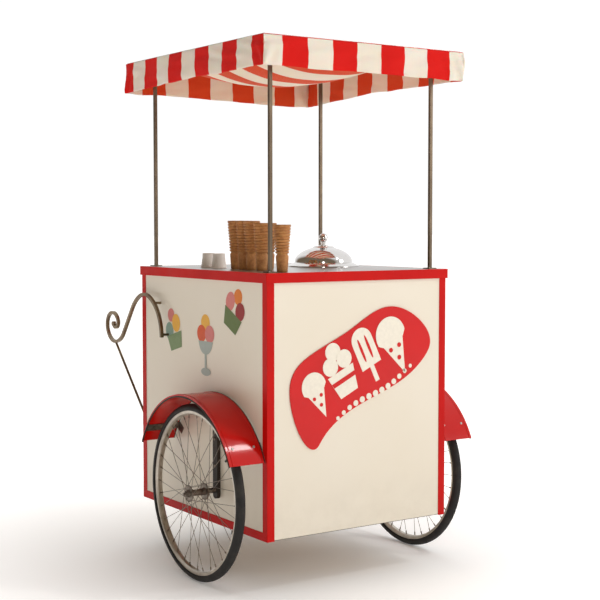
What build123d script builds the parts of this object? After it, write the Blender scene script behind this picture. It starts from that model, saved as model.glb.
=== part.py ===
from build123d import *

import math
import os

# Push vending cart for ice cream, in millimetres.
# X runs across the cart from the left wheel to the right wheel, Y runs from the front panel (-Y)
# to the vendor's side (+Y), Z is up and the floor is Z 0.  Sizes below are measured from the
# middle of the cabinet.  The saved pieces are moved along Y, so their origin is below the middle
# of the whole cart's box.

os.makedirs("parts", exist_ok=True)

# ---------------------------------------------------------------- driving dimensions
CABINET_W = 804.0          # over the corner trims, along X
CABINET_D = 936.0          # over the corner trims, along Y
CABINET_Z = 195.0          # underside of the cabinet
COUNTER_Z = 1135.0         # working surface

TRIM_LEG = 30.0            # leg of the corner angles
TRIM_T = 2.0
PANEL_T = 8.0
FRONT_PANEL_LIFT = 4.0     # the front panel stops this far above the corner trims
RAIL = 30.0                # square timber and tube of the carcass
RAIL_WALL = 2.0
FLOOR_T = 12.0
CORE_T = 18.0              # plywood below the steel counter
SHEET_T = 1.5              # steel counter sheet
BAND_H = 35.0              # edge band round the counter
BAND_T = 6.0

WELL_X, WELL_Y = 175.0, 15.0   # centre of the ice cream well
TUB_R = 118.0
TUB_DEPTH = 300.0
TUB_WALL = 1.5
TUB_FLANGE = 11.0
WELL_CLEAR = 1.0
JACKET_SIDE = 340.0
JACKET_FLOOR = 40.0
SHELF_T = 12.0
CLEAT = 20.0

LID_R = 142.0
LID_RIM_H = 4.0
LID_SKIRT = (116.0, 17.0)  # where the sloping skirt meets the dome
LID_SHOULDER = ((113.0, 32.0), (95.0, 53.0), (70.0, 67.0), (44.0, 76.0))
LID_H = 82.0
LID_T = 1.5
KNOB_BASE_R, KNOB_STEM_R, KNOB_BALL_R, KNOB_H = 21.0, 9.0, 18.0, 50.0
LID_GAP = 0.3

WHEEL_GAP = 90.0           # wheel's centre plane from the cabinet's side
WHEEL_Y = -130.0
WHEEL_R = 325.0            # over the tyre; the axle is this high
TYRE_R = 17.5
TYRE_WALL = 5.0
CAVITY_LIFT = 1.5          # the cavity's centre, outwards of the tyre's
TUBE_FIT = 0.3
TUBE_WALL = 1.0
RIM_HALF_W = 13.0
RIM_WALL = 2.0
RIM_EDGE_DROP = 25.0       # radii of the rim, below the tyre's outside
RIM_BED_DROP = 33.0
RIM_INNER_DROP = 39.0
SPOKES = 36
SPOKE_R = 1.0
SPOKE_FIT = 0.2            # spoke to the inner face of its flange
SPOKE_LEAN = 1.6           # an outer spoke starts this far off, so it clears the flange's edge
NIPPLE_R = 2.4
NIPPLE_L = 13.0
HUB_HALF = 33.0            # hub centre to the middle of a flange
HUB_FLANGE_R = 31.0
HUB_FLANGE_T = 3.0
HUB_BARREL_R = 11.5
SPOKE_CIRCLE_R = 26.0
AXLE_R = 5.0
RUNNING = 0.08             # radial clearance of a running fit
BEARING_R = 9.0
BEARING_L = 9.0
VALVE_DEG = 145.0          # the valve's place round the rim
VALVE_R = 3.0

BRACKET_W = 32.0
BRACKET_DEPTH = 14.0
BRACKET_T = 4.0
BRACKET_TOP = 640.0

FENDER_CLEAR = 35.0        # tyre to fender
FENDER_T = 2.0
FENDER_GAP = 2.5           # cabinet's side to the inner edge
FENDER_W = 141.5
FENDER_LIP = 8.0
FENDER_END_DEG = 24.5      # ends of the arc above the horizontal
FENDER_BEAD_R = 1.6
FENDER_BEAD_INSET = 11.0
STRAP_T = 3.0
STRAP_DEG = 5.0
STRAP_INSET_DEG = 10.0     # straps, from the ends of the arc
STRAP_DROP = 36.0

BAR = 12.0                 # square bar of the handles and the canopy posts
HANDLE_GAP = 28.0          # cabinet's side to the middle of the bar
HANDLE_INSET = 218.0       # front end of the scroll, ahead of the cabinet's rear
HANDLE_DROP = 272.0        # and below the counter
SCROLL_RISE = ((167.0, -69.0), (97.0, -43.0), (167.0, -31.0))    # radius and turn of each arc
SCROLL_RUN = 133.0
SCROLL_CURL = ((102.0, 50.0), (74.0, 72.0), (53.0, 173.0), (22.0, 187.0))
SCROLL_EYE_R = 10.0
STUD_R = 5.0
STUD_SHARES = (0.05, 0.75)     # studs, as shares of the scroll's first arc
STRUT_R = 5.0
STRUT_FOOT_Z = 520.0
STRUT_PAD = (24.0, 4.0, 60.0)

POST_INSET_X = 42.0        # posts, in from the cabinet's sides
POST_INSET_Y = 44.0
POST_INSET_RIGHT = 168.0   # the right rear post stands further forward
FLANGE = 36.0
FLANGE_T = 4.0

CANOPY_OVER_X = 43.0       # canopy beyond the cabinet, at each side and each end
CANOPY_OVER_Y = 48.0
CANOPY_Z = 1950.0
VALANCE_DROP = 110.0
CLOTH_T = 3.0
CANOPY_BAR = 10.0
CANOPY_GAP = 3.0           # cloth to frame, at the sides

DOOR_GAP = 2.0
DOOR_W, DOOR_H = 600.0, 690.0
DOOR_Z = 250.0
DOOR_KNOB_INSET = 40.0
DOOR_KNOB_HEIGHT = 0.6     # up the door, as a share of it
DOOR_KNOB_R, DOOR_KNOB_T = 13.0, 9.0
DOOR_STEM_R, DOOR_STEM_L = 6.0, 12.0
HINGE_INSET = 80.0         # hinges, from the door's ends
HINGE_LIFT = 0.3           # knuckles stand this far off the panel
HINGE_R = 3.5
PIN_R = 1.6
HINGE_L = 60.0
LEAF_W = 20.0
LEAF_T = 1.5

LEG_INSET = 83.0           # leg, ahead of the cabinet's rear
LEG_PIVOT_DROP = 27.0      # pivot below the cabinet's underside
LEG_R = 11.0
LEG_LEAN = 12.0            # the foot stands this far behind the pivot, so a load locks the leg
LEG_CHEEK_GAP = 0.4
LEG_STOP_GAP = 1.5
CHEEK_T = 4.0
FOOT_R = 24.0
FOOT_H = 14.0
LEG_PIN_R = 4.0

SIGN_T = 4.0
SIGN_OUTLINE = ((-181, 520), (-45, 631), (290, 798), (325, 853), (234, 975), (115, 1000),
                (-46, 924), (-221, 840), (-306, 740))

# place and height of each stack of cones
CONE_STACKS = ((-260.0, -30.0, 183.0), (-266.0, -97.0, 183.0), (-273.0, -163.0, 182.0),
               (-281.0, -244.0, 174.0), (-208.0, -176.0, 174.0), (-296.0, -403.0, 169.0))
CONE_TOP_R, CONE_FOOT_R = 32.5, 20.0
CONE_FILL = 0.55           # the mouth's bottom, as a share of the height
CONE_WALL = 3.0
CONE_HOLE_R = 17.0
CUP_PLACES = ((-260.0, 177.0), (-260.0, 97.0))
CUP_MOUTH_R, CUP_FOOT_R, CUP_H, CUP_WALL = 32.0, 24.0, 56.0, 1.0

# ---------------------------------------------------------------- derived places
HALF_W, HALF_D = CABINET_W / 2, CABINET_D / 2
PANEL_X, PANEL_Y = HALF_W - TRIM_T, HALF_D - TRIM_T      # outer faces of the panels
INNER_X, INNER_Y = PANEL_X - PANEL_T, PANEL_Y - PANEL_T  # inner faces of the panels
CORE_TOP = COUNTER_Z - SHEET_T
CORE_Z = CORE_TOP - CORE_T
TOP_FRAME_Z = CORE_Z - RAIL
WHEEL_X = HALF_W + WHEEL_GAP
RIM_EDGE_R, RIM_BED_R = WHEEL_R - RIM_EDGE_DROP, WHEEL_R - RIM_BED_DROP
RIM_INNER_R = WHEEL_R - RIM_INNER_DROP
FENDER_R = WHEEL_R + FENDER_CLEAR
FENDER_IN = HALF_W + FENDER_GAP
FENDER_OUT = FENDER_IN + FENDER_W
HANDLE_X = HALF_W + HANDLE_GAP
HANDLE_TIP = (HALF_D - HANDLE_INSET, COUNTER_Z - HANDLE_DROP)
POST_X = HALF_W - POST_INSET_X
CANOPY_W, CANOPY_D = CABINET_W + 2 * CANOPY_OVER_X, CABINET_D + 2 * CANOPY_OVER_Y
LEG_Y = HALF_D - LEG_INSET
FLOOR_Z = CABINET_Z + RAIL
SHELF_TOP = COUNTER_Z - TUB_DEPTH - JACKET_FLOOR - 5.0
CAVITY_R_CENTRE = WHEEL_R - TYRE_R + CAVITY_LIFT
TUBE_R = TYRE_R - TYRE_WALL - TUBE_FIT
WEB_X = PANEL_X + BRACKET_DEPTH                          # outer face of a wheel bracket
CANOPY_CEILING = CANOPY_Z - CLOTH_T
RING_Z = CANOPY_CEILING - CANOPY_BAR
BEARER_Z = RING_Z - CANOPY_BAR
MIRROR = Plane.YZ

POSTS = {
    "front_left": (-POST_X, -HALF_D + POST_INSET_Y),
    "front_right": (POST_X, -HALF_D + POST_INSET_Y),
    "rear_left": (-POST_X, HALF_D - POST_INSET_Y),
    "rear_right": (POST_X, HALF_D - POST_INSET_RIGHT),
}
PIECES = {}


def save(shape, name):
    """Keeps one sub-part; several loose solids are a group."""
    PIECES[name] = list(shape) if isinstance(shape, (list, ShapeList)) else [shape]


def write_all():
    """Puts the origin below the middle of the whole cart's box and writes every sub-part."""
    boxes = [shape.bounding_box() for shapes in PIECES.values() for shape in shapes]
    middle = (min(b.min.Y for b in boxes) + max(b.max.Y for b in boxes)) / 2
    for name, shapes in PIECES.items():
        moved = [Pos(0, -middle, 0) * shape for shape in shapes]
        piece = moved[0] if len(moved) == 1 else Compound(children=moved)
        piece.label = name
        export_step(piece, f"parts/{name}.step")
    print(f"the cabinet's centre is at Y {-middle:.3f}")


def block(x0, x1, y0, y1, z0, z1):
    """A box between two corners."""
    with BuildPart() as body:
        with BuildSketch(Plane.XY.offset(min(z0, z1))):
            with Locations(((x0 + x1) / 2, (y0 + y1) / 2)):
                Rectangle(abs(x1 - x0), abs(y1 - y0))
        extrude(amount=abs(z1 - z0))
    return body.part


def rod(start, end, radius):
    """A round rod from one point to another."""
    run = Vector(*end) - Vector(*start)
    with BuildPart() as body:
        with BuildSketch(Plane(origin=start, z_dir=run)):
            Circle(radius)
        extrude(amount=run.length)
    return body.part


def dome_screw(x, y, z, direction, radius, height):
    """A low domed screw head whose flat side is at the point given."""
    with BuildPart() as body:
        with BuildSketch(Plane(origin=(x, y, z), z_dir=direction)):
            Circle(radius)
        extrude(amount=height)
        fillet(body.faces().sort_by(Axis((x, y, z), direction))[-1].edges(), height * 0.8)
    return body.part


def mirrored(shapes):
    return [mirror(s, about=MIRROR) for s in shapes]


def cone_places():
    return [(x, y) for x, y, height in CONE_STACKS]


# ---------------------------------------------------------------- carcass
def make_base_frame():
    """Six butted square tubes: two side rails, two end rails, an axle member and a leg member."""
    z0, z1 = CABINET_Z, FLOOR_Z
    w = RAIL_WALL
    rails = []
    for s in (-1, 1):
        x0, x1 = s * INNER_X, s * (INNER_X - RAIL)
        bore = block(x0 - s * w, x1 + s * w, -INNER_Y, INNER_Y, z0 + w, z1 - w)
        rails.append(block(x0, x1, -INNER_Y, INNER_Y, z0, z1) - bore)
    reach = INNER_X - RAIL
    for y in (-INNER_Y + RAIL / 2, WHEEL_Y, LEG_Y, INNER_Y - RAIL / 2):
        bore = block(-reach, reach, y - RAIL / 2 + w, y + RAIL / 2 - w, z0 + w, z1 - w)
        rails.append(block(-reach, reach, y - RAIL / 2, y + RAIL / 2, z0, z1) - bore)
    save(rails, "base_frame")


def make_carcass():
    save(block(-INNER_X, INNER_X, -INNER_Y, INNER_Y, FLOOR_Z, FLOOR_Z + FLOOR_T), "floor_board")
    foot = FLOOR_Z + FLOOR_T
    uprights = []
    for sx in (-1, 1):
        for sy in (-1, 1):
            uprights.append(
                block(sx * INNER_X, sx * (INNER_X - RAIL), sy * INNER_Y, sy * (INNER_Y - RAIL),
                      foot, TOP_FRAME_Z)
            )
    save(uprights, "corner_uprights")
    side = INNER_X - RAIL
    top = [block(s * INNER_X, s * side, -INNER_Y, INNER_Y, TOP_FRAME_Z, CORE_Z) for s in (-1, 1)]
    top += [
        block(-side, side, s * INNER_Y, s * (INNER_Y - RAIL), TOP_FRAME_Z, CORE_Z) for s in (-1, 1)
    ]
    save(top, "top_frame")


def make_panels():
    save(block(-PANEL_X, PANEL_X, -PANEL_Y, -INNER_Y, CABINET_Z + FRONT_PANEL_LIFT, CORE_Z),
         "front_panel")
    for side, name in ((-1, "left_panel"), (1, "right_panel")):
        save(block(side * PANEL_X, side * INNER_X, -INNER_Y, INNER_Y, CABINET_Z, CORE_Z), name)
    with BuildPart() as rear:
        with BuildSketch(Plane.XZ.offset(-PANEL_Y)):
            with Locations((0, (CABINET_Z + CORE_Z) / 2)):
                Rectangle(2 * PANEL_X, CORE_Z - CABINET_Z)
            with Locations((0, DOOR_Z + DOOR_H / 2)):
                Rectangle(DOOR_W + 2 * DOOR_GAP, DOOR_H + 2 * DOOR_GAP, mode=Mode.SUBTRACT)
        extrude(amount=PANEL_T)
    save(rear.part, "rear_panel")


def make_trims():
    """Four steel angles over the corners and a strip along the foot of each side, as one group."""
    trims = []
    for sx in (-1, 1):
        for sy in (-1, 1):
            with BuildPart() as angle:
                with BuildSketch(Plane.XY.offset(CABINET_Z)):
                    with Locations((sx * (HALF_W - TRIM_LEG / 2), sy * (HALF_D - TRIM_T / 2))):
                        Rectangle(TRIM_LEG, TRIM_T)
                    with Locations((sx * (HALF_W - TRIM_T / 2), sy * (HALF_D - TRIM_LEG / 2))):
                        Rectangle(TRIM_T, TRIM_LEG)
                extrude(amount=CORE_Z - CABINET_Z)
                corner = (sx * HALF_W, sy * HALF_D, CORE_Z)
                fillet(angle.edges().filter_by(Axis.Z).sort_by_distance(corner)[0], TRIM_T * 0.6)
            trims.append(angle.part)
    reach = HALF_D - TRIM_LEG
    trims += [block(s * PANEL_X, s * HALF_W, -reach, reach, CABINET_Z, CABINET_Z + TRIM_LEG)
              for s in (-1, 1)]
    save(trims, "edge_trims")


# ---------------------------------------------------------------- counter and well
def make_counter():
    for name, z0, thick, hole in (
        ("counter_core", CORE_Z, CORE_T, TUB_R + WELL_CLEAR),
        ("counter_sheet", CORE_TOP, SHEET_T, TUB_R + WELL_CLEAR),
    ):
        with BuildPart() as slab:
            with BuildSketch(Plane.XY.offset(z0)):
                Rectangle(CABINET_W, CABINET_D)
                with Locations((WELL_X, WELL_Y)):
                    Circle(hole, mode=Mode.SUBTRACT)
                with Locations(*cone_places()):
                    Circle(CONE_HOLE_R, mode=Mode.SUBTRACT)
            extrude(amount=thick)
        save(slab.part, name)
    with BuildPart() as band:
        with BuildSketch(Plane.XY.offset(COUNTER_Z - BAND_H)):
            RectangleRounded(CABINET_W + 2 * BAND_T, CABINET_D + 2 * BAND_T, 2.0)
            Rectangle(CABINET_W, CABINET_D, mode=Mode.SUBTRACT)
        extrude(amount=BAND_H)
    save(band.part, "counter_band")


def make_well():
    """Steel tub hung by its flange, a foam jacket round it and the shelf that carries the jacket."""
    rim_r = TUB_R + TUB_FLANGE
    base = COUNTER_Z + TUB_WALL - TUB_DEPTH
    with BuildPart() as tub:
        with BuildSketch(Plane.XZ) as section:
            with BuildLine():
                Polyline(
                    (0, base), (TUB_R, base), (TUB_R, COUNTER_Z), (rim_r, COUNTER_Z),
                    (rim_r, COUNTER_Z + TUB_WALL), (TUB_R - TUB_WALL, COUNTER_Z + TUB_WALL),
                    (TUB_R - TUB_WALL, base + TUB_WALL), (0, base + TUB_WALL), close=True,
                )
            make_face()
        revolve(axis=Axis.Z)
    save(Pos(WELL_X, WELL_Y, 0) * tub.part, "gelato_tub")

    with BuildPart() as jacket:
        with BuildSketch(Plane.XY.offset(SHELF_TOP)):
            with Locations((WELL_X, WELL_Y)):
                RectangleRounded(JACKET_SIDE, JACKET_SIDE, 20)
        extrude(amount=CORE_Z - SHELF_TOP)
        with BuildSketch(Plane.XY.offset(SHELF_TOP + JACKET_FLOOR)):
            with Locations((WELL_X, WELL_Y)):
                Circle(TUB_R + WELL_CLEAR)
        extrude(amount=CORE_Z - SHELF_TOP, mode=Mode.SUBTRACT)
    save(jacket.part, "insulation_jacket")

    shelf_y = INNER_Y - RAIL
    save(block(-INNER_X, INNER_X, -shelf_y, shelf_y, SHELF_TOP - SHELF_T, SHELF_TOP), "well_shelf")
    under = SHELF_TOP - SHELF_T
    save([block(s * INNER_X, s * (INNER_X - CLEAT), -shelf_y, shelf_y, under - CLEAT, under)
          for s in (-1, 1)], "shelf_cleats")


def make_lid():
    """Spun dome with a rolled rim, and a turned knob screwed through its crown."""
    foot = COUNTER_Z + LID_GAP
    outer = [LID_SKIRT, *LID_SHOULDER, (0.0, LID_H)]
    inner = [(max(r - LID_T, 0.0), z - LID_T) for r, z in outer]
    with BuildPart() as lid:
        with BuildSketch(Plane.XZ):
            with BuildLine():
                Polyline((LID_R - LID_T, 0), (LID_R, 0), (LID_R, LID_RIM_H), outer[0])
                Spline(outer, tangents=((-0.1, 1), (-1, 0)))
                Line(outer[-1], inner[-1])
                Spline(inner, tangents=((-0.1, 1), (-1, 0)))
                Polyline(inner[0], (LID_R - LID_T, LID_RIM_H - LID_T), (LID_R - LID_T, 0))
            make_face()
        revolve(axis=Axis.Z)
    save(Pos(WELL_X, WELL_Y, foot) * lid.part, "dome_lid")

    low = (Align.CENTER, Align.CENTER, Align.MIN)
    with BuildPart() as knob:
        Cylinder(KNOB_BASE_R, 4.0, align=low)
        Cylinder(KNOB_STEM_R, 18.0, align=low)
        with Locations((0, 0, 11.0)):
            Cylinder(KNOB_STEM_R + 3.0, 3.0, align=low)
        with Locations((0, 0, KNOB_H - KNOB_BALL_R)):
            Sphere(KNOB_BALL_R)
    save(Pos(WELL_X, WELL_Y, foot + LID_H) * knob.part, "lid_knob")


# ---------------------------------------------------------------- wheels
def axle_plane():
    """Local X is the radius, local Y points along the axle away from the cart."""
    return Plane(origin=(-WHEEL_X, WHEEL_Y, WHEEL_R), x_dir=(0, 0, 1), z_dir=(0, -1, 0))


def turned(*outlines):
    """Revolves closed outlines of (radius, offset) points about the left axle."""
    plane = axle_plane()
    axis = Axis((-WHEEL_X, WHEEL_Y, WHEEL_R), (1, 0, 0))
    with BuildPart() as body:
        with BuildSketch(plane):
            for points in outlines:
                with BuildLine():
                    Polyline(*points, close=True)
                make_face()
        revolve(axis=axis)
    return body.part


def ring_outline(r0, r1, y0, y1):
    return [(r0, y0), (r1, y0), (r1, y1), (r0, y1)]


def make_tyre_and_tube():
    """Round tyre whose foot fills the rim's channel, and the tube in its cavity."""
    axis = Axis((-WHEEL_X, WHEEL_Y, WHEEL_R), (1, 0, 0))
    bead = RIM_HALF_W - RIM_WALL - 0.2
    foot_low, foot_high = RIM_BED_R + 0.2, RIM_EDGE_R + 0.2
    with BuildPart() as tyre:
        with BuildSketch(axle_plane()):
            with Locations((WHEEL_R - TYRE_R, 0)):
                Circle(TYRE_R)
            for s in (-1, 1):
                with Locations((foot_high - TYRE_R, s * (bead + TYRE_R))):
                    Rectangle(2 * TYRE_R, 2 * TYRE_R, mode=Mode.SUBTRACT)
            with Locations((foot_low - TYRE_R, 0)):
                Rectangle(2 * TYRE_R, 4 * TYRE_R, mode=Mode.SUBTRACT)
            with Locations((CAVITY_R_CENTRE, 0)):
                Circle(TYRE_R - TYRE_WALL, mode=Mode.SUBTRACT)
        revolve(axis=axis)
    with BuildPart() as tube:
        with BuildSketch(axle_plane()):
            with Locations((CAVITY_R_CENTRE, 0)):
                Circle(TUBE_R)
                Circle(TUBE_R - TUBE_WALL, mode=Mode.SUBTRACT)
        revolve(axis=axis)
    return tyre.part, tube.part


def spoke_set():
    """Spokes laced across three, each with its nipple."""
    spokes = []
    step = 360.0 / SPOKES
    hole_step = 2 * step                       # holes on one flange
    cross = 3 * hole_step
    for n in range(SPOKES):
        side = -1 if n % 2 else 1              # which flange
        pair = (n // 2) % 2                    # leading or trailing
        face = 1 if pair else -1               # outer or inner face of the flange
        rim_deg = n * step
        hub_deg = rim_deg + (cross - step / 2 if pair else -(cross - step / 2))
        stand_off = HUB_FLANGE_T / 2 + SPOKE_R + (SPOKE_LEAN if face > 0 else SPOKE_FIT)
        offset = side * (HUB_HALF + face * stand_off)
        a, b = math.radians(hub_deg), math.radians(rim_deg)
        foot = (-WHEEL_X - offset, WHEEL_Y + SPOKE_CIRCLE_R * math.cos(a),
                WHEEL_R + SPOKE_CIRCLE_R * math.sin(a))
        reach = RIM_INNER_R - 0.6
        tip_x = -WHEEL_X - side * 2.0
        tip = (tip_x, WHEEL_Y + reach * math.cos(b), WHEEL_R + reach * math.sin(b))
        run = Vector(*tip) - Vector(*foot)
        neck = Vector(*tip) - run.normalized() * NIPPLE_L
        wire = rod(foot, tip, SPOKE_R)
        nipple = rod(tuple(neck), tip, NIPPLE_R)
        spokes.append((wire + nipple).solids()[0])
    return spokes


def make_wheel():
    """The left wheel's pieces, as a name to shapes table."""
    pieces = {}
    tyre, tube = make_tyre_and_tube()
    rim = turned([
        (RIM_EDGE_R, -RIM_HALF_W), (RIM_BED_R - 2, -RIM_HALF_W), (RIM_INNER_R, -RIM_HALF_W * 0.55),
        (RIM_INNER_R, RIM_HALF_W * 0.55), (RIM_BED_R - 2, RIM_HALF_W), (RIM_EDGE_R, RIM_HALF_W),
        (RIM_EDGE_R, RIM_HALF_W - RIM_WALL), (RIM_BED_R, RIM_HALF_W - RIM_WALL),
        (RIM_BED_R, -RIM_HALF_W + RIM_WALL), (RIM_EDGE_R, -RIM_HALF_W + RIM_WALL),
    ])
    valve = math.radians(VALVE_DEG)
    outward = (0, math.cos(valve), math.sin(valve))

    def at(radius):
        return (-WHEEL_X, WHEEL_Y + radius * outward[1], WHEEL_R + radius * outward[2])

    drill = rod(at(RIM_INNER_R - 10), at(RIM_EDGE_R + 5), VALVE_R + 0.3)
    pieces["rim"] = [(rim - drill).solids()[0]]
    pieces["tyre"] = [(tyre - drill).solids()[0]]
    stem = rod(at(RIM_INNER_R - 24), at(CAVITY_R_CENTRE - TUBE_R + TUBE_WALL / 2), VALVE_R)
    cap = rod(at(RIM_INNER_R - 32), at(RIM_INNER_R - 20), VALVE_R + 1.0)
    pieces["inner_tube"] = [(tube + stem + cap).solids()[0]]
    pieces["spokes"] = spoke_set()
    f, t = HUB_HALF, HUB_FLANGE_T / 2
    end = HUB_HALF + 9.0
    seat = end - BEARING_L
    hub_lines = [(AXLE_R + 1.5, -seat)]
    hub_lines += [(BEARING_R, -seat), (BEARING_R, -end), (BEARING_R + 3, -end), (14.5, -f - t),
                  (HUB_FLANGE_R, -f - t), (HUB_FLANGE_R, -f + t), (14.5, -f + t),
                  (HUB_BARREL_R, -f + 12), (HUB_BARREL_R, f - 12), (14.5, f - t),
                  (HUB_FLANGE_R, f - t), (HUB_FLANGE_R, f + t), (14.5, f + t),
                  (BEARING_R + 3, end), (BEARING_R, end), (BEARING_R, seat), (AXLE_R + 1.5, seat)]
    pieces["hub"] = [turned(hub_lines)]
    pieces["bearings"] = [
        turned(ring_outline(AXLE_R + RUNNING, BEARING_R, s * seat, s * end)) for s in (-1, 1)
    ]
    return pieces


def make_axle():
    """Stub axle and its nuts; the nuts clamp the bracket's web and hold the hub's bearings."""
    end = HUB_HALF + 9.0
    inner_end = WHEEL_X - end                      # hub's inner face, from the cart's centre
    outer = WHEEL_X + end + 14.0
    y, z = WHEEL_Y, WHEEL_R
    stub = rod((-(PANEL_X + 4), y, z), (-outer, y, z), AXLE_R)

    def nut(x0, x1, across):
        with BuildPart() as body:
            with BuildSketch(Plane(origin=(-x0, y, z), z_dir=(-1, 0, 0))):
                RegularPolygon(across / 2, 6, major_radius=False)
                Circle(AXLE_R, mode=Mode.SUBTRACT)
            extrude(amount=x1 - x0)
        return body.part

    web_in = WEB_X - BRACKET_T
    spacer = nut(WEB_X, inner_end - 0.3, 17)
    lock = nut(web_in - 8, web_in, 17)
    cone = nut(WHEEL_X + end + 0.3, WHEEL_X + end + 8.3, 17)
    return {"axle": [stub], "axle_nuts": [lock, spacer, cone]}


def make_bracket():
    """Channel with a rounded foot, open towards the panel, and the bolts that hold it."""
    low = WHEEL_R - BRACKET_W / 2
    # the local X axis runs along +Y and local Y runs down
    wall = Plane(origin=(-PANEL_X, 0, 0), x_dir=(0, 1, 0), z_dir=(-1, 0, 0))
    with BuildPart() as channel:
        for inset, depth, mode in ((0, BRACKET_DEPTH, Mode.ADD),
                                   (BRACKET_T, BRACKET_DEPTH - BRACKET_T, Mode.SUBTRACT)):
            with BuildSketch(wall):
                with Locations((WHEEL_Y, -(low + BRACKET_TOP - inset) / 2)):
                    Rectangle(BRACKET_W - 2 * inset, BRACKET_TOP - inset - low)
                with Locations((WHEEL_Y, -low)):
                    Circle(BRACKET_W / 2 - inset)
            extrude(amount=depth, mode=mode)
        with BuildSketch(wall):
            with Locations((WHEEL_Y, -WHEEL_R)):
                Circle(AXLE_R)
        extrude(amount=BRACKET_DEPTH, mode=Mode.SUBTRACT)
    bolts = [dome_screw(-WEB_X, WHEEL_Y, z, (-1, 0, 0), 6.0, 4.0)
             for z in (WHEEL_R + 90, WHEEL_R + 190, BRACKET_TOP - 25)]
    return {"wheel_bracket": [channel.part], "bracket_bolts": bolts}


def radial_plane(degrees):
    """Plane through the axle: local X points away from the cart and local Y along the radius."""
    a = math.radians(degrees)
    radius = Vector(0, math.cos(a), math.sin(a))
    across = Vector(-1, 0, 0)
    return Plane(origin=(0, WHEEL_Y, WHEEL_R), x_dir=across, z_dir=across.cross(radius))


def make_fender():
    """Rolled guard with a bead near each edge, two straps to the cabinet and their screws."""
    axis = Axis((0, WHEEL_Y, WHEEL_R), (1, 0, 0))
    top = FENDER_R + FENDER_T
    with BuildPart() as guard:
        with BuildSketch(radial_plane(180.0 - FENDER_END_DEG)):
            with Locations(((FENDER_IN + FENDER_OUT) / 2, FENDER_R + FENDER_T / 2)):
                Rectangle(FENDER_OUT - FENDER_IN, FENDER_T)
            with Locations((FENDER_OUT - FENDER_T / 2, top - FENDER_LIP / 2)):
                Rectangle(FENDER_T, FENDER_LIP)
            with Locations((FENDER_IN + FENDER_BEAD_INSET, top), (FENDER_OUT - FENDER_BEAD_INSET, top)):
                Circle(FENDER_BEAD_R)
        revolve(axis=axis, revolution_arc=-(180.0 - 2 * FENDER_END_DEG))
    straps, screws = [], []
    reach = FENDER_OUT - FENDER_T - 1.0
    for middle in (180.0 - FENDER_END_DEG - STRAP_INSET_DEG, FENDER_END_DEG + STRAP_INSET_DEG):
        with BuildPart() as strap:
            with BuildSketch(radial_plane(middle + STRAP_DEG / 2)):
                with Locations(((PANEL_X + reach) / 2, FENDER_R - STRAP_T / 2)):
                    Rectangle(reach - PANEL_X, STRAP_T)
                with Locations((PANEL_X + STRAP_T / 2, FENDER_R - STRAP_DROP / 2)):
                    Rectangle(STRAP_T, STRAP_DROP)
            revolve(axis=axis, revolution_arc=-STRAP_DEG)
        straps.append(strap.part)
        a = math.radians(middle)
        out = (0, math.cos(a), math.sin(a))
        for x in (FENDER_IN + 2.5 * FENDER_BEAD_INSET, FENDER_OUT - 2.5 * FENDER_BEAD_INSET):
            screws.append(dome_screw(-x, WHEEL_Y + top * out[1], WHEEL_R + top * out[2], out, 5.0, 3.0))
    return {"fender": [guard.part], "fender_straps": straps, "fender_screws": screws}


def make_running_gear():
    """Both sides; the small identical pieces of the two sides share a node."""
    for name, shapes in {**make_wheel(), **make_bracket(), **make_fender(), **make_axle()}.items():
        if name in ("axle", "axle_nuts", "bracket_bolts", "fender_straps", "fender_screws"):
            save(shapes + mirrored(shapes), name if name.endswith("s") else f"{name}s")
        else:
            save(shapes, f"{name}_left")
            save(mirrored(shapes), f"{name}_right")


# ---------------------------------------------------------------- handles
def make_handles():
    """Square bar bent in an S scroll, two studs and a strut that hold it to the cabinet."""
    with BuildPart() as scroll:
        with BuildLine() as path:
            start, heading = Vector(*HANDLE_TIP), Vector(0, 1)
            rise = []
            for radius, turn in SCROLL_RISE:
                rise.append(JernArc(start, heading, radius, turn))
                start, heading = rise[-1] @ 1, rise[-1] % 1
            start = Line(start, start + heading * SCROLL_RUN) @ 1
            curl = []
            for radius, turn in SCROLL_CURL:
                curl.append(JernArc(start, heading, radius, turn))
                start, heading = curl[-1] @ 1, curl[-1] % 1
        with BuildSketch(Plane(origin=path.line @ 0, x_dir=(1, 0, 0), z_dir=path.line % 0)):
            Rectangle(BAR, BAR)
        sweep()
        with BuildSketch(Plane.XY.offset(-BAR / 2)):
            with Locations(start):
                Circle(SCROLL_EYE_R)
        extrude(amount=BAR)
    side = Plane(origin=(-HANDLE_X, 0, 0), x_dir=(0, 1, 0), z_dir=(1, 0, 0))
    bar = side.location * scroll.part
    studs = []
    for share in STUD_SHARES:
        spot = rise[0] @ share
        studs.append(rod((-PANEL_X, spot.X, spot.Y), (-(HANDLE_X - BAR / 2), spot.X, spot.Y), STUD_R))
    pad_x, pad_y, pad_z = STRUT_PAD
    edge, face = HALF_W - TRIM_T, HALF_D
    low = curl[0] @ 1
    strut = rod((-HANDLE_X, low.X, low.Y), (-(edge - pad_x / 2), face, STRUT_FOOT_Z), STRUT_R)
    strut += block(-edge, -edge + pad_x, face, face + pad_y, STRUT_FOOT_Z - pad_z / 2,
                   STRUT_FOOT_Z + pad_z / 2)
    strut = strut - bar - block(-HALF_W, 0, 0, face, CABINET_Z, COUNTER_Z)
    strut = strut.solids().sort_by(SortBy.VOLUME)[-1]
    save([bar], "handle_left")
    save(mirrored([bar]), "handle_right")
    save(studs + mirrored(studs), "handle_studs")
    save([strut] + mirrored([strut]), "handle_struts")


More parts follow.
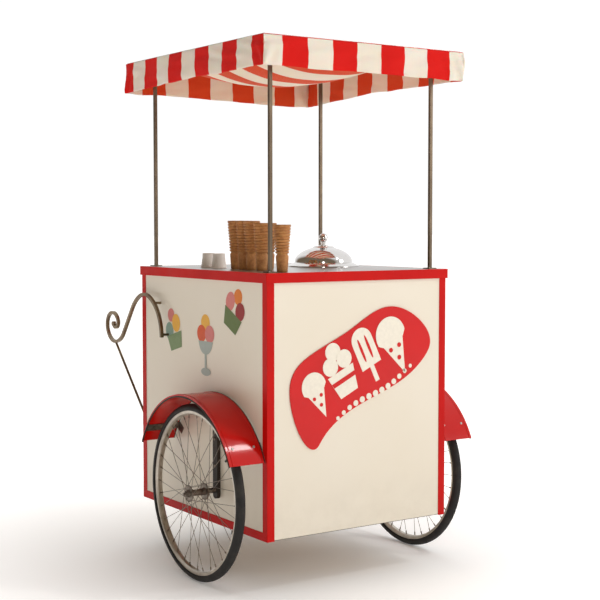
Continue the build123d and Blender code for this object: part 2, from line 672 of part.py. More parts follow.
# ---------------------------------------------------------------- rear door
def make_door():
    half = DOOR_W / 2
    save(block(-half, half, INNER_Y, PANEL_Y, DOOR_Z, DOOR_Z + DOOR_H), "rear_door")
    low = (Align.CENTER, Align.CENTER, Align.MIN)
    with BuildPart() as knob:
        Cylinder(DOOR_STEM_R, DOOR_STEM_L + 2, align=low)
        with Locations((0, 0, DOOR_STEM_L)):
            Cylinder(DOOR_KNOB_R, DOOR_KNOB_T, align=low)
        fillet(knob.faces().sort_by(Axis.Z)[-1].edges(), DOOR_KNOB_T * 0.45)
    knob_z = DOOR_Z + DOOR_H * DOOR_KNOB_HEIGHT
    seat = Plane(origin=(-half + DOOR_KNOB_INSET, PANEL_Y, knob_z), z_dir=(0, 1, 0))
    save(seat.location * knob.part, "door_knob")

    pin_x, pin_y = half + DOOR_GAP / 2, PANEL_Y + HINGE_R + HINGE_LIFT
    third = HINGE_L / 3
    fixed, swinging, pins = [], [], []
    for z0 in (DOOR_Z + HINGE_INSET, DOOR_Z + DOOR_H - HINGE_INSET - HINGE_L):
        ends = ((z0, z0 + third), (z0 + 2 * third, z0 + HINGE_L))
        middle = ((z0 + third + RUNNING, z0 + 2 * third - RUNNING),)
        for way, spans, bore, store in ((1, ends, PIN_R, fixed), (-1, middle, PIN_R + RUNNING, swinging)):
            inner = pin_x + way * (HINGE_R + 0.5)
            leaf = block(inner, pin_x + way * LEAF_W, PANEL_Y, PANEL_Y + LEAF_T, z0, z0 + HINGE_L)
            for low, high in spans:
                leaf += block(pin_x, inner + way, PANEL_Y + HINGE_LIFT, PANEL_Y + LEAF_T, low, high)
                leaf += rod((pin_x, pin_y, low), (pin_x, pin_y, high), HINGE_R)
            leaf -= rod((pin_x, pin_y, z0), (pin_x, pin_y, z0 + HINGE_L), bore)
            store.append(leaf.solids().sort_by(SortBy.VOLUME)[-1])
        pins.append(rod((pin_x, pin_y, z0), (pin_x, pin_y, z0 + HINGE_L), PIN_R)
                    + rod((pin_x, pin_y, z0 + HINGE_L), (pin_x, pin_y, z0 + HINGE_L + 2), HINGE_R))
    save(fixed, "frame_hinge_leaves")
    save(swinging, "door_hinge_leaves")
    save(pins, "hinge_pins")


# ---------------------------------------------------------------- prop stand
def make_stand():
    """A short leg on a pin in a channel below the rear of the cabinet; it folds forwards."""
    pivot = CABINET_Z - LEG_PIVOT_DROP
    cheek = LEG_R + LEG_CHEEK_GAP
    outer = cheek + CHEEK_T
    back = LEG_Y + LEG_R + LEG_STOP_GAP
    low = pivot - 2.5 * LEG_PIN_R
    front = LEG_Y - LEG_R
    bracket = block(-outer, outer, front, back + CHEEK_T, CABINET_Z - CHEEK_T, CABINET_Z)
    for s in (-1, 1):
        bracket += block(s * cheek, s * outer, front, back + CHEEK_T, low, CABINET_Z)
    bracket += block(-outer, outer, back, back + CHEEK_T, low, CABINET_Z)
    bracket -= rod((-outer, LEG_Y, pivot), (outer, LEG_Y, pivot), LEG_PIN_R)
    save(bracket, "stand_bracket")
    pin = rod((-outer - 1, LEG_Y, pivot), (outer + 1, LEG_Y, pivot), LEG_PIN_R)
    for s in (-1, 1):
        pin += rod((s * outer, LEG_Y, pivot), (s * (outer + 3), LEG_Y, pivot), LEG_PIN_R + 2.5)
    save(pin, "stand_pin")
    foot_y = LEG_Y + LEG_LEAN
    leg = rod((0, foot_y + LEG_LEAN * 0.1, 0), (0, LEG_Y, pivot), LEG_R)
    leg -= block(-FOOT_R, FOOT_R, foot_y - FOOT_R, foot_y + FOOT_R, -FOOT_H, FOOT_H)
    leg += rod((-LEG_R, LEG_Y, pivot), (LEG_R, LEG_Y, pivot), LEG_R)
    leg -= rod((-LEG_R, LEG_Y, pivot), (LEG_R, LEG_Y, pivot), LEG_PIN_R + RUNNING)
    save(leg, "stand_leg")
    with BuildPart() as foot:
        with BuildSketch():
            with Locations((0, foot_y)):
                Circle(FOOT_R)
        extrude(amount=FOOT_H)
        fillet(foot.faces().sort_by(Axis.Z)[-1].edges(), FOOT_H * 0.3)
    save(foot.part, "stand_foot")


# ---------------------------------------------------------------- canopy
def make_canopy():
    posts, screws = [], []
    for x, y in POSTS.values():
        with BuildPart() as post:
            with BuildSketch(Plane.XY.offset(COUNTER_Z)):
                with Locations((x, y)):
                    Rectangle(FLANGE, FLANGE)
            extrude(amount=FLANGE_T)
            with BuildSketch(Plane.XY.offset(COUNTER_Z)):
                with Locations((x, y)):
                    Rectangle(BAR, BAR)
            extrude(amount=BEARER_Z - COUNTER_Z)
        posts.append(post.part)
        for s in (-1, 1):
            screws.append(dome_screw(x + s * FLANGE / 3, y + s * FLANGE / 3, COUNTER_Z + FLANGE_T,
                                     (0, 0, 1), 3.5, 2.0))
    pad_x, pad_y, pad_z = STRUT_PAD
    for s in (-1, 1):
        for dz in (-1, 1):
            screws.append(dome_screw(s * (HALF_W - TRIM_T - pad_x / 2), HALF_D + pad_y,
                                     STRUT_FOOT_Z + dz * (pad_z / 2 - 7), (0, 1, 0), 3.5, 2.0))
    save(posts, "canopy_posts")
    save(screws, "dome_screws")

    half_x = CANOPY_W / 2 - CLOTH_T - CANOPY_GAP
    half_y = CANOPY_D / 2 - CLOTH_T - CANOPY_GAP
    bar = CANOPY_BAR
    rails = [block(-half_x, half_x, s * half_y, s * (half_y - bar), RING_Z, CANOPY_CEILING)
             for s in (-1, 1)]
    rails += [block(s * half_x, s * (half_x - bar), -half_y + bar, half_y - bar, RING_Z, CANOPY_CEILING)
              for s in (-1, 1)]
    rails += [block(s * POST_X - bar / 2, s * POST_X + bar / 2, -half_y, half_y, BEARER_Z, RING_Z)
              for s in (-1, 1)]
    save(rails, "canopy_frame")

    with BuildPart() as cloth:
        with BuildSketch(Plane.XY.offset(CANOPY_Z - VALANCE_DROP)):
            Rectangle(CANOPY_W, CANOPY_D)
        extrude(amount=VALANCE_DROP)
        with BuildSketch(Plane.XY.offset(CANOPY_Z - VALANCE_DROP)):
            Rectangle(CANOPY_W - 2 * CLOTH_T, CANOPY_D - 2 * CLOTH_T)
        extrude(amount=VALANCE_DROP - CLOTH_T, mode=Mode.SUBTRACT)
    save(cloth.part, "canopy")


# ---------------------------------------------------------------- sign, cones and cups
def make_goods():
    with BuildPart() as sign:
        with BuildSketch(Plane.XZ.offset(PANEL_Y)):
            with BuildLine():
                Spline(*SIGN_OUTLINE, periodic=True)
            make_face()
        extrude(amount=SIGN_T)
    save(sign.part, "front_sign")

    hole = CONE_HOLE_R - 0.3
    bottom = -CORE_T - SHEET_T
    stacks = []
    for x, y, height in CONE_STACKS:
        with BuildPart() as stack:
            with BuildSketch(Plane.XZ):
                with BuildLine():
                    Polyline(
                        (0, bottom), (hole - 2, bottom), (hole, 0.3),
                        (CONE_FOOT_R, 0.3), (CONE_TOP_R, height), (CONE_TOP_R - CONE_WALL, height),
                        (CONE_FOOT_R, height * CONE_FILL), (0, height * CONE_FILL), close=True,
                    )
                make_face()
            revolve(axis=Axis.Z)
        stacks.append(Pos(x, y, COUNTER_Z) * stack.part)
    save(stacks, "cone_stacks")

    with BuildPart() as cup:
        with BuildSketch(Plane.XZ):
            with BuildLine():
                Polyline(
                    (CUP_MOUTH_R - CUP_WALL, 0), (CUP_MOUTH_R, 0), (CUP_FOOT_R, CUP_H), (0, CUP_H),
                    (0, CUP_H - CUP_WALL), (CUP_FOOT_R - CUP_WALL, CUP_H - CUP_WALL), close=True,
                )
            make_face()
        revolve(axis=Axis.Z)
    save([Pos(x, y, COUNTER_Z) * cup.part for x, y in CUP_PLACES], "paper_cups")


for step in (make_base_frame, make_carcass, make_panels, make_trims, make_counter, make_well, make_lid,
             make_running_gear, make_handles, make_door, make_stand, make_canopy, make_goods):
    step()
write_all()
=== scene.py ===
"""Looks of the push vending cart: materials, cloth canopy, tyres, cones, cups, stickers and sign.

Everything is in metres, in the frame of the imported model: X across the cart, Y towards the
vendor's side, Z up.  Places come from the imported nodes' boxes.
"""

import math
import random

import bmesh
import bpy
from mathutils import Matrix, Vector, noise


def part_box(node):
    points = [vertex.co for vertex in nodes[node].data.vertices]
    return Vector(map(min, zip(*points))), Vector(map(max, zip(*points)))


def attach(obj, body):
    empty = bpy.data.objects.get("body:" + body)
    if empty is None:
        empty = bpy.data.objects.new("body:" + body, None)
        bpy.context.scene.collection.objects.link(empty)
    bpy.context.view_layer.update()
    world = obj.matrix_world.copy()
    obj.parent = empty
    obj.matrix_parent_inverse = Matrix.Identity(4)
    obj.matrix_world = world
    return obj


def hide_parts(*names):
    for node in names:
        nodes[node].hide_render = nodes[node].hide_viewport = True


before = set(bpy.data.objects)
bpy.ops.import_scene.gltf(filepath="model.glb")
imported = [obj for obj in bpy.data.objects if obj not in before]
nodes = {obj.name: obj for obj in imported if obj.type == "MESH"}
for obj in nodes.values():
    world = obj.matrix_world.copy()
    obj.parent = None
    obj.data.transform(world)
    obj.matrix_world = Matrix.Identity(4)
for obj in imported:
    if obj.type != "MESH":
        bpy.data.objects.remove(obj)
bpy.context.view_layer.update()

SHEET_LOW, SHEET_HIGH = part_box("counter_sheet")
CENTRE_Y = (SHEET_LOW.y + SHEET_HIGH.y) / 2      # the cabinet's middle; goods and marks count from it
COUNTER_Z = SHEET_HIGH.z
LEFT_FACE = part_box("left_panel")[0].x
SIGN_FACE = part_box("front_sign")[0].y
CANOPY_LOW, CANOPY_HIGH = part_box("canopy")
MM = 0.001

# camera, counted from the cabinet's middle on the floor; angles in degrees to the right and down
CAMERA_PLACE = (-2.810, -4.232, 1.304)
CAMERA_YAW = 34.07
CAMERA_PITCH = 3.345
CAMERA_LENS = 77.9

# studio: brown on the cart's left, turning white towards its right
BRIGHT_SIDE = (0.855, 0.251, 0.453)
BROWN_WALL = (0.20, 0.155, 0.11, 1.0)
WHITE_WALL = (1.03, 1.03, 1.03, 1.0)
WHITE_FROM = 0.40
FLOOR_REACH = 120.0
GLOW_STARTS, GLOW_FULL = 0.35, 1.7               # distances from the cart where the paper brightens
GLOW_NEAR, GLOW_FAR = 0.06, 0.55


# ---------------------------------------------------------------- camera, light and floor
def make_camera():
    data = bpy.data.cameras.new("camera")
    data.lens = CAMERA_LENS
    data.sensor_width = 36.0
    camera = bpy.data.objects.new("camera", data)
    yaw, pitch = math.radians(CAMERA_YAW), math.radians(CAMERA_PITCH)
    sight = Vector((math.sin(yaw) * math.cos(pitch), math.cos(yaw) * math.cos(pitch), -math.sin(pitch)))
    x, y, z = CAMERA_PLACE
    camera.location = (x, y + CENTRE_Y, z)
    camera.rotation_mode = "QUATERNION"
    camera.rotation_quaternion = sight.to_track_quat("-Z", "Y")
    bpy.context.collection.objects.link(camera)
    bpy.context.scene.camera = camera


def make_light(name, place, target, size, energy, colour=(1, 1, 1)):
    data = bpy.data.lights.new(name, "AREA")
    data.shape = "DISK"
    data.size = size
    data.energy = energy
    data.color = colour
    light = bpy.data.objects.new(name, data)
    light.location = place
    aim = Vector(target) - Vector(place)
    light.rotation_mode = "QUATERNION"
    light.rotation_quaternion = aim.to_track_quat("-Z", "Y")
    bpy.context.collection.objects.link(light)


def make_world():
    """Soft light all round that is darker and warmer on the cart's left."""
    scene = bpy.context.scene
    scene.view_settings.view_transform = "Standard"
    scene.view_settings.look = "None"
    world = bpy.data.worlds.new("studio")
    world.use_nodes = True
    tree = world.node_tree
    coordinates = tree.nodes.new("ShaderNodeTexCoord")
    dot = tree.nodes.new("ShaderNodeVectorMath")
    dot.operation = "DOT_PRODUCT"
    tree.links.new(coordinates.outputs["Generated"], dot.inputs[0])
    dot.inputs[1].default_value = BRIGHT_SIDE
    ramp = tree.nodes.new("ShaderNodeValToRGB")
    tree.links.new(dot.outputs["Value"], ramp.inputs["Fac"])
    dark, white = ramp.color_ramp.elements
    dark.position = 0.0
    dark.color = BROWN_WALL
    white.position = WHITE_FROM
    white.color = WHITE_WALL
    tree.links.new(ramp.outputs["Color"], tree.nodes["Background"].inputs["Color"])
    scene.world = world


def make_floor():
    """A wide sheet of white paper that glows a little away from the cart, so it fades to white."""
    mesh = bpy.data.meshes.new("floor")
    far = FLOOR_REACH
    mesh.from_pydata([(-far, -far, 0), (far, -far, 0), (far, far, 0), (-far, far, 0)], [], [(0, 1, 2, 3)])
    floor = bpy.data.objects.new("floor", mesh)
    net = Net("floor_paper", (0.93, 0.92, 0.905), 0.9, specular_ior_level=0.1, emission_color=(1, 1, 1, 1))
    distance = net.node("ShaderNodeVectorMath", {0: net.place()}, operation="LENGTH").outputs["Value"]
    glow = net.span(net.ramp(distance, GLOW_STARTS, GLOW_FULL), GLOW_NEAR, GLOW_FAR)
    net.set(net.shader, "Emission Strength", glow)
    floor.data.materials.append(net.material)
    bpy.context.collection.objects.link(floor)


def make_stage():
    make_world()
    make_light("key", (5.6, -6.2, 3.3), (0, -0.1, 0.9), 2.4, 100, (1.0, 0.985, 0.97))
    make_light("glint", (1.6, -2.35, 3.45), (-0.47, -0.55, 0.5), 0.42, 17)
    make_light("side", (-2.6, -4.2, 2.0), (-0.45, -0.5, 0.5), 0.6, 16, (1.0, 0.96, 0.90))
    make_floor()


# ---------------------------------------------------------------- materials
class Net:
    """A material with a Principled shader and a few helpers for its textures."""

    def __init__(self, name, colour, rough, metal=0.0, **sockets):
        self.material = bpy.data.materials.new(name)
        self.material.use_nodes = True
        self.tree = self.material.node_tree
        self.shader = self.tree.nodes["Principled BSDF"]
        self.set(self.shader, "Base Color", (*colour, 1.0))
        self.set(self.shader, "Roughness", rough)
        self.set(self.shader, "Metallic", metal)
        for key, value in sockets.items():
            self.set(self.shader, key.replace("_", " ").title().replace("Ior", "IOR"), value)

    def set(self, node, socket, value):
        if isinstance(value, bpy.types.NodeSocket):
            self.tree.links.new(value, node.inputs[socket])
        else:
            node.inputs[socket].default_value = value

    def node(self, kind, sockets=(), **settings):
        made = self.tree.nodes.new(kind)
        for key, value in settings.items():
            setattr(made, key, value)
        for key, value in dict(sockets).items():
            self.set(made, key, value)
        return made

    def place(self, scale=(1, 1, 1), source="Object"):
        """Texture coordinates, stretched."""
        coordinates = self.node("ShaderNodeTexCoord")
        mapping = self.node("ShaderNodeMapping", {"Vector": coordinates.outputs[source], "Scale": scale})
        return mapping.outputs["Vector"]

    def noise(self, scale, detail=4.0, stretch=(1, 1, 1), source="Object", rough=0.55):
        made = self.node("ShaderNodeTexNoise", {
            "Vector": self.place(stretch, source), "Scale": scale, "Detail": detail, "Roughness": rough})
        return made.outputs["Fac"]

    def ramp(self, factor, low, high):
        """Maps factor from low..high to 0..1."""
        made = self.node("ShaderNodeMapRange", {
            "Value": factor, "From Min": low, "From Max": high, "To Min": 0.0, "To Max": 1.0})
        return made.outputs["Result"]

    def span(self, factor, low, high):
        """Maps 0..1 to low..high."""
        made = self.node("ShaderNodeMapRange", {"Value": factor, "To Min": low, "To Max": high})
        return made.outputs["Result"]

    def mix(self, factor, first, second):
        made = self.node("ShaderNodeMix", data_type="RGBA")
        self.set(made, 0, factor)
        self.set(made, 6, first if isinstance(first, bpy.types.NodeSocket) else (*first, 1.0))
        self.set(made, 7, second if isinstance(second, bpy.types.NodeSocket) else (*second, 1.0))
        return made.outputs[2]

    def math(self, operation, first, second=0.0):
        made = self.node("ShaderNodeMath", operation=operation)
        self.set(made, 0, first)
        self.set(made, 1, second)
        return made.outputs["Value"]

    def bump(self, height, distance, strength=1.0, after=None):
        made = self.node("ShaderNodeBump", {"Height": height, "Distance": distance, "Strength": strength})
        if after is not None:
            self.set(made, "Normal", after)
        return made.outputs["Normal"]

    def colour(self, value):
        self.set(self.shader, "Base Color", value)

    def rough(self, factor, low, high):
        self.set(self.shader, "Roughness", self.span(factor, low, high))

    def normal(self, value):
        self.set(self.shader, "Normal", value)


def dimmed(colour, *factors):
    """A darker tone; one factor for all three channels, or one for each."""
    each = factors * 3 if len(factors) == 1 else factors
    return tuple(c * f for c, f in zip(colour, each))


def lacquer(name, colour, dark, rough=0.22, coat=0.5):
    """Sprayed enamel: faint orange peel, cloudy tone and scuffed spots."""
    net = Net(name, colour, rough, coat_weight=coat, coat_roughness=0.08, specular_ior_level=0.12)
    cloud = net.noise(5.0, 5.0)
    scuff = net.ramp(net.noise(42.0, 8.0, rough=0.7), 0.60, 0.74)
    tone = net.mix(net.ramp(cloud, 0.35, 0.75), colour, dark)
    net.colour(net.mix(net.math("MULTIPLY", scuff, 0.35), tone, tuple(c * 0.55 + 0.02 for c in colour)))
    net.rough(net.noise(16.0, 4.0), rough * 0.7, rough * 1.5)
    net.normal(net.bump(net.noise(260.0, 2.0), 0.00025, 0.45, net.bump(net.noise(9.0, 2.0), 0.0012, 0.35)))
    return net.material


def laminate(name, colour, grime):
    """Painted board, a little yellowed and dusty towards its foot."""
    net = Net(name, colour, 0.38, coat_weight=0.15, coat_roughness=0.25)
    height = net.node("ShaderNodeSeparateXYZ", {"Vector": net.place()}).outputs["Z"]
    board_foot, clean_from = 0.19, 0.42              # metres above the floor
    foot = net.math("SUBTRACT", 1.0, net.ramp(height, board_foot, clean_from))
    dirt = net.math("MULTIPLY", foot, net.ramp(net.noise(11.0, 8.0, rough=0.65), 0.40, 0.75))
    speck = net.ramp(net.noise(90.0, 6.0, rough=0.75), 0.66, 0.78)
    tone = net.mix(net.ramp(net.noise(2.2, 3.0), 0.3, 0.8), colour, dimmed(colour, 0.97, 0.955, 0.92))
    tone = net.mix(net.math("MULTIPLY", dirt, 0.16), tone, grime)
    net.colour(net.mix(net.math("MULTIPLY", speck, 0.08), tone, grime))
    net.rough(net.noise(7.0, 5.0), 0.30, 0.48)
    net.normal(net.bump(net.noise(150.0, 3.0), 0.0003, 0.4, net.bump(net.noise(3.0, 2.0), 0.002, 0.3)))
    return net.material


def metal(name, colour, tarnish_and_glint, rough, amount=(0.45, 0.65), scale=30.0, bump=0.0002, stretch=(1, 1, 1)):
    """Bare or plated metal with a second tone in patches: tarnish on most metals, and on the handles' bronze
    lighter golden patches that are a painted highlight.
    """
    net = Net(name, colour, rough, 1.0)
    patch = net.ramp(net.noise(scale, 7.0, stretch, rough=0.65), *amount)
    net.colour(net.mix(patch, colour, tarnish_and_glint))
    net.rough(net.noise(scale * 1.7, 5.0, stretch), rough * 0.65, rough * 1.5)
    net.normal(net.bump(net.noise(scale * 9.0, 3.0, stretch), bump, 0.5))
    return net.material


def brushed(name, colour):
    """Steel sheet with a fine grain along X and worn clouds."""
    net = Net(name, colour, 0.3, 1.0, anisotropic=0.5)
    grain = net.noise(60.0, 8.0, (1, 40, 40), rough=0.7)
    net.colour(net.mix(net.ramp(net.noise(6.0, 6.0), 0.3, 0.8), colour, dimmed(colour, 0.78)))
    net.rough(grain, 0.20, 0.42)
    net.normal(net.bump(grain, 0.0002, 0.35))
    return net.material


def rubber(name, colour, dust):
    net = Net(name, colour, 0.62, specular_ior_level=0.35)
    net.colour(net.mix(net.ramp(net.noise(14.0, 7.0, rough=0.7), 0.50, 0.82), colour, dust))
    net.rough(net.noise(25.0, 5.0), 0.48, 0.78)
    net.normal(net.bump(net.noise(500.0, 3.0), 0.0003, 0.5))
    return net.material


def plywood(name, colour, dark):
    net = Net(name, colour, 0.6)
    grain = net.noise(14.0, 8.0, (1, 12, 12), rough=0.65)
    net.colour(net.mix(net.ramp(grain, 0.35, 0.7), colour, dark))
    net.rough(grain, 0.5, 0.75)
    net.normal(net.bump(grain, 0.0006, 0.5))
    return net.material


def foam(name, colour):
    net = Net(name, colour, 0.8)
    cells = net.node("ShaderNodeTexVoronoi", {"Vector": net.place(), "Scale": 260.0}).outputs["Distance"]
    net.colour(net.mix(net.ramp(cells, 0.1, 0.7), dimmed(colour, 0.9), colour))
    net.normal(net.bump(cells, 0.0006, 0.6))
    return net.material


def card(name, colour):
    """Matt coated paper or printed sticker."""
    net = Net(name, colour, 0.55)
    net.colour(net.mix(net.ramp(net.noise(70.0, 6.0), 0.35, 0.8), colour, dimmed(colour, 0.9)))
    net.rough(net.noise(40.0, 4.0), 0.42, 0.66)
    net.normal(net.bump(net.noise(900.0, 2.0), 0.0001, 0.4))
    return net.material


def canvas(name, red, cream):
    """Striped awning cloth.  U counts stripes, V is the distance down the cloth in metres."""
    net = Net(name, red, 0.82, sheen_weight=0.04, sheen_roughness=0.5, subsurface_weight=0.35,
              subsurface_scale=0.004, specular_ior_level=0.12)
    split = net.node("ShaderNodeSeparateXYZ", {"Vector": net.place(source="UV")})
    u, v = split.outputs["X"], split.outputs["Y"]
    half = net.math("FRACT", net.math("MULTIPLY", u, 0.5))
    stripe = net.math("GREATER_THAN", half, 0.5)
    fade = net.ramp(net.noise(4.0, 6.0), 0.35, 0.8)
    red_tone = net.mix(fade, red, dimmed(red, 0.86))
    cream_tone = net.mix(fade, cream, dimmed(cream, 0.95, 0.93, 0.88))
    stripe_width, thread_pitch = 0.1, 0.0011         # metres
    warp = net.math("SINE", net.math("MULTIPLY", u, stripe_width * 2 * math.pi / thread_pitch))
    weft = net.math("SINE", net.math("MULTIPLY", v, 2 * math.pi / thread_pitch))
    weave = net.math("MULTIPLY", warp, weft)
    slub = net.noise(240.0, 4.0, (1, 1, 6))
    thread = net.math("ADD", net.math("MULTIPLY", weave, 0.5), slub)
    shade = net.span(net.ramp(thread, 0.1, 1.0), 0.93, 1.0)
    tone = net.mix(stripe, red_tone, cream_tone)
    net.colour(net.node("ShaderNodeVectorMath", {0: tone, 1: shade}, operation="MULTIPLY").outputs[0])
    net.rough(slub, 0.74, 0.92)
    crease = net.bump(net.noise(26.0, 4.0, (1, 1, 0.5)), 0.0022, 0.4)
    net.normal(net.bump(thread, 0.0004, 0.55, crease))
    return net.material


def wafer(name, colour, dark):
    """Baked waffle: a diagonal grid of ribs and toasted patches, with painted shade darkening the pits
    between the ribs.  U is round the cone, V is up it.
    """
    net = Net(name, colour, 0.6, subsurface_weight=0.12, subsurface_scale=0.003)
    split = net.node("ShaderNodeSeparateXYZ", {"Vector": net.place(source="UV")})
    ribs = []
    ribs_round, ribs_per_metre = 14.0, 85.0
    for way in ("ADD", "SUBTRACT"):
        turn = net.math("MULTIPLY", split.outputs["X"], ribs_round)
        climb = net.math("MULTIPLY", split.outputs["Y"], ribs_per_metre)
        wave = net.math("SINE", net.math("MULTIPLY", net.math(way, turn, climb), 2 * math.pi))
        ribs.append(net.math("POWER", net.math("ABSOLUTE", wave), 0.5))
    pit = net.math("MINIMUM", *ribs)
    toast = net.ramp(net.noise(60.0, 6.0, rough=0.7), 0.35, 0.72)
    tone = net.mix(toast, colour, dark)
    # painted shade: the pits between the ribs are darkened
    net.colour(net.mix(net.ramp(pit, 0.55, 0.0), tone, dimmed(dark, 0.72)))
    net.normal(net.bump(pit, 0.0009, 0.7, net.bump(net.noise(500.0, 4.0), 0.0005, 0.5)))
    return net.material


# ---------------------------------------------------------------- mesh helpers
def add_piece(name, verts, faces, material, body="cart", smooth=True, uvs=None):
    """A mesh piece that rides on a body; uvs gives one (u, v) for each corner of each face."""
    mesh = bpy.data.meshes.new(name)
    mesh.from_pydata([tuple(v) for v in verts], [], faces)
    if uvs is not None:
        layer = mesh.uv_layers.new(name="cloth")
        for loop, uv in enumerate(uvs):
            layer.data[loop].uv = uv
    mesh.materials.append(material)
    piece = bpy.data.objects.new(name, mesh)
    bpy.context.collection.objects.link(piece)
    for polygon in mesh.polygons:
        polygon.use_smooth = smooth
    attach(piece, body)
    return piece


def lathe(profile, foot, steps, closed=False):
    """Turns a profile of (radius, height) points about an upright axis; returns verts, faces and UVs."""
    axis = Vector((0, 0, 1))
    side = axis.orthogonal().normalized()
    other = axis.cross(side)
    verts, faces, uvs = [], [], []
    length = [0.0]
    for (r0, h0), (r1, h1) in zip(profile, profile[1:]):
        length.append(length[-1] + math.hypot(r1 - r0, h1 - h0))
    for i in range(steps):
        a = 2 * math.pi * i / steps
        out = side * math.cos(a) + other * math.sin(a)
        verts += [Vector(foot) + out * r + axis * h for r, h in profile]
    count = len(profile)
    rows = count if closed else count - 1
    for i in range(steps):
        j = (i + 1) % steps
        for k in range(rows):
            m = (k + 1) % count
            faces.append((i * count + k, j * count + k, j * count + m, i * count + m))
            top = length[m] if m else length[-1]
            uvs += [(i / steps, length[k]), ((i + 1) / steps, length[k]),
                    ((i + 1) / steps, top), (i / steps, top)]
    return verts, faces, uvs


def turned_piece(name, profile, foot, material, steps, closed=False):
    """A lathe-turned piece with its seams merged and its faces turned outwards."""
    verts, faces, uvs = lathe(profile, foot, steps, closed)
    piece = add_piece(name, verts, faces, material, uvs=uvs)
    tidy = bmesh.new()
    tidy.from_mesh(piece.data)
    bmesh.ops.remove_doubles(tidy, verts=tidy.verts, dist=1e-6)
    bmesh.ops.recalc_face_normals(tidy, faces=tidy.faces)
    tidy.to_mesh(piece.data)
    tidy.free()
    return piece


def plate(name, outline, origin, across, up, thickness, material):
    """A thin flat plate; its outline is in millimetres along across and up from the origin."""
    across, up = Vector(across), Vector(up)
    out = across.cross(up).normalized()
    area = sum(x0 * y1 - x1 * y0 for (x0, y0), (x1, y1) in zip(outline, outline[1:] + outline[:1]))
    if area < 0:
        outline = outline[::-1]
    bottom = [Vector(origin) + across * (x * MM) + up * (y * MM) for x, y in outline]
    top = [v + out * thickness for v in bottom]
    n = len(outline)
    faces = [tuple(range(n, 2 * n)), tuple(range(n - 1, -1, -1))]
    faces += [(i, (i + 1) % n, n + (i + 1) % n, n + i) for i in range(n)]
    return add_piece(name, bottom + top, faces, material, smooth=False)


def ellipse(x, y, rx, ry, start=0.0, stop=360.0, steps=40):
    """Points of an ellipse, or of an arc of one; a full round leaves out its repeated last point."""
    full = stop - start >= 360
    points = []
    for i in range(steps + (0 if full else 1)):
        a = math.radians(start + (stop - start) * i / steps)
        points.append((x + rx * math.cos(a), y + ry * math.sin(a)))
    return points


def turned(points, degrees, x=0.0, y=0.0, scale=1.0):
    """Points scaled and turned about the origin, then moved by x and y."""
    t = math.radians(degrees)
    c, s = math.cos(t) * scale, math.sin(t) * scale
    return [(x + px * c - py * s, y + px * s + py * c) for px, py in points]


# ---------------------------------------------------------------- canopy
ROOF_STRIPE = 0.0985        # stripes of the roof and of the left and right falls
ROOF_PHASE = 0.26           # where the first of them starts, in stripes
FRONT_STRIPE = 0.106        # stripes of the front and rear falls
FRONT_PHASE = 1.302
CLOTH = 0.0012
CLOTH_INSET = 0.0016        # the sheet's middle stays this far inside the canopy's box
BEARER_X = 0.352            # the roof hangs between bearers here on the left and right
RAIL_INSET = 0.016          # and between rails this far in from the front and rear edges
SAG = 0.104                 # depth of the belly at the roof's middle
ROOF_PUCKER = 0.0025
EDGE_ROUND = 0.0150         # width of the strip that turns over the edge
EDGE_DROP = 0.0058          # and how far it falls
FALL_ROWS = 18
HEM_WAVE = 0.0075           # how far the falls' cloth moves in and out, by cause
CORNER_PLEAT = 0.0060
BULGE = 0.0030
RIPPLE = 0.0052
CALM_CORNER = 0.06          # the hem is even within this distance of a corner
HEM_UNEVEN = 0.006
REAR_HEM_LOWER = 0.024      # the hem hangs lower towards the rear right corner


def fold(along, seed):
    """Smooth unevenness of cloth along an edge."""
    broad = noise.noise(Vector((along * 6.0, seed, 0.3)))
    fine = noise.noise(Vector((along * 15.0, seed, 4.0)))
    return broad + 0.5 * fine


